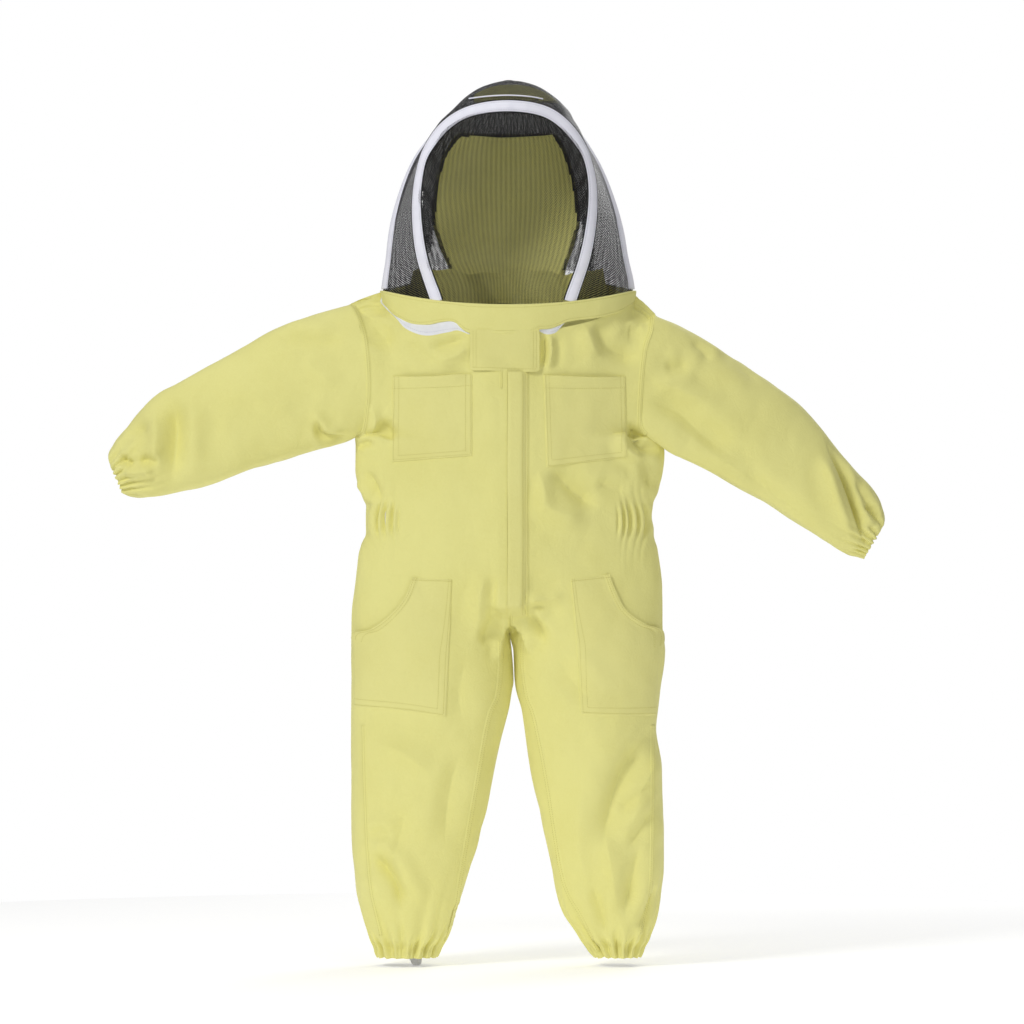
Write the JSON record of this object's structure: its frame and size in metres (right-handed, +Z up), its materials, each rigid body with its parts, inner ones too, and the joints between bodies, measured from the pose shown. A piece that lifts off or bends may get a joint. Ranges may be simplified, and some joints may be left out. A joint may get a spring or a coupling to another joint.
{
  "type": "beekeeping suit",
  "caption": "Child's beekeeping coverall with a zip-on hooped veil hood that throws back, covered front zip, patch pockets and elastic cuffs.",
  "frame": {"origin": "between the wearer's shoulders, at the height where the shoulders carry the suit", "axes": "+Z up, +X to the wearer's left, the front faces -Y; the suit is shown as worn, arms held out"},
  "size_m": [1.157, 0.2637, 1.2881],
  "materials": {
    "yellow_cotton": "woven polycotton",
    "white_tape": "woven tape",
    "black_mesh": "hexagonal net, see-through",
    "elastic": "knitted elastic",
    "boning": "matte",
    "zip_plastic": "moulded",
    "zip_metal": "enamelled"
  },
  "bodies": {
    "coverall": {"right_front_panel": "yellow_cotton", "left_front_panel": "yellow_cotton", "back_panel": "yellow_cotton", "right_waist_elastic": "elastic", "left_waist_elastic": "elastic", "right_chest_pocket": "yellow_cotton", "left_chest_pocket": "yellow_cotton", "neck_zip_lower_tape": "white_tape", "right_front_zip_tape": "white_tape", "left_front_zip_tape": "white_tape", "right_front_zip_teeth": "zip_plastic", "left_front_zip_teeth": "zip_plastic", "front_zip_stop": "zip_plastic", "placket_seam": "yellow_cotton", "right_hip_pocket_mouth": "yellow_cotton", "left_hip_pocket_mouth": "yellow_cotton"},
    "zip_cover": {"front_placket": "yellow_cotton"},
    "zip_slider": {"front_zip_slider": "zip_metal"},
    "zip_pull": {"front_zip_pull": "zip_metal"},
    "right_neck_slider": {"right_neck_zip_slider": "zip_metal"},
    "left_neck_slider": {"left_neck_zip_slider": "zip_metal"},
    "hood": {"collar_band": "yellow_cotton", "neck_zip_upper_tape": "white_tape", "face_veil": "black_mesh", "right_side_veil": "black_mesh", "left_side_veil": "black_mesh", "hood_back_panel": "yellow_cotton", "back_veil": "black_mesh", "crown_patch": "yellow_cotton", "front_hoop_binding": "white_tape", "front_hoop": "boning", "rear_hoop_binding": "white_tape", "rear_hoop": "boning"},
    "flap": {"throat_flap": "yellow_cotton"},
    "right_arm": {"right_sleeve": "yellow_cotton", "right_cuff_elastic": "elastic"},
    "right_trouser_leg": {"right_leg": "yellow_cotton", "right_hip_pocket_bag": "yellow_cotton", "right_ankle_elastic": "elastic"},
    "right_loop": {"right_foot_loop": "elastic"},
    "left_arm": {"left_sleeve": "yellow_cotton", "left_cuff_elastic": "elastic"},
    "left_trouser_leg": {"left_leg": "yellow_cotton", "left_hip_pocket_bag": "yellow_cotton", "left_ankle_elastic": "elastic"},
    "left_loop": {"left_foot_loop": "elastic"}
  },
  "joints": [
    {"name": "hood_throw_back", "type": "hinge", "parent": "coverall", "child": "hood", "pos_m": [0, 0.086, 0.04172], "axis": [-1, 0, 0], "range_deg": [0, 130]},
    {"name": "throat_flap_lift", "type": "hinge", "parent": "hood", "child": "flap", "pos_m": [0, -0.0854, -0.049], "axis": [-1, 0, 0], "range_deg": [0, 150]},
    {"name": "zip_cover_open", "type": "hinge", "parent": "coverall", "child": "zip_cover", "pos_m": [0.0243, -0.0861, -0.27], "axis": [0, 0, 1], "range_deg": [0, 150]},
    {"name": "front_zip_slide", "type": "slide", "parent": "coverall", "child": "zip_slider", "axis": [0, 0, -1], "range_m": [0, 0.36]},
    {"name": "front_zip_pull_swing", "type": "hinge", "parent": "zip_slider", "child": "zip_pull", "pos_m": [0.004, -0.0813, -0.06325], "axis": [-1, 0, 0], "range_deg": [0, 5]},
    {"name": "right_neck_zip_run", "type": "hinge", "parent": "coverall", "child": "right_neck_slider", "pos_m": [0, 0.41936, 0.21507], "axis": [0, 0.4614, -0.8872], "range_deg": [0, 8]},
    {"name": "left_neck_zip_run", "type": "hinge", "parent": "coverall", "child": "left_neck_slider", "pos_m": [0, 0.41936, 0.21507], "axis": [0, -0.4614, 0.8872], "range_deg": [0, 8]},
    {"name": "right_shoulder", "type": "hinge", "parent": "coverall", "child": "right_arm", "pos_m": [-0.268, 0, -0.113], "axis": [0, 1, 0], "range_deg": [-13, 60]},
    {"name": "left_shoulder", "type": "hinge", "parent": "coverall", "child": "left_arm", "pos_m": [0.268, 0, -0.113], "axis": [0, -1, 0], "range_deg": [-2, 70]},
    {"name": "right_hip", "type": "hinge", "parent": "coverall", "child": "right_trouser_leg", "pos_m": [0, 0, -0.5], "axis": [-1, 0, 0], "range_deg": [-25, 25]},
    {"name": "left_hip", "type": "hinge", "parent": "coverall", "child": "left_trouser_leg", "pos_m": [0, 0, -0.5], "axis": [-1, 0, 0], "range_deg": [-25, 25]},
    {"name": "right_foot_loop_swing", "type": "hinge", "parent": "right_trouser_leg", "child": "right_loop", "pos_m": [-0.148, 0, -0.932], "axis": [-1, 0, 0], "range_deg": [-20, 20]},
    {"name": "left_foot_loop_swing", "type": "hinge", "parent": "left_trouser_leg", "child": "left_loop", "pos_m": [0.148, 0, -0.932], "axis": [-1, 0, 0], "range_deg": [-20, 20]}
  ]
}
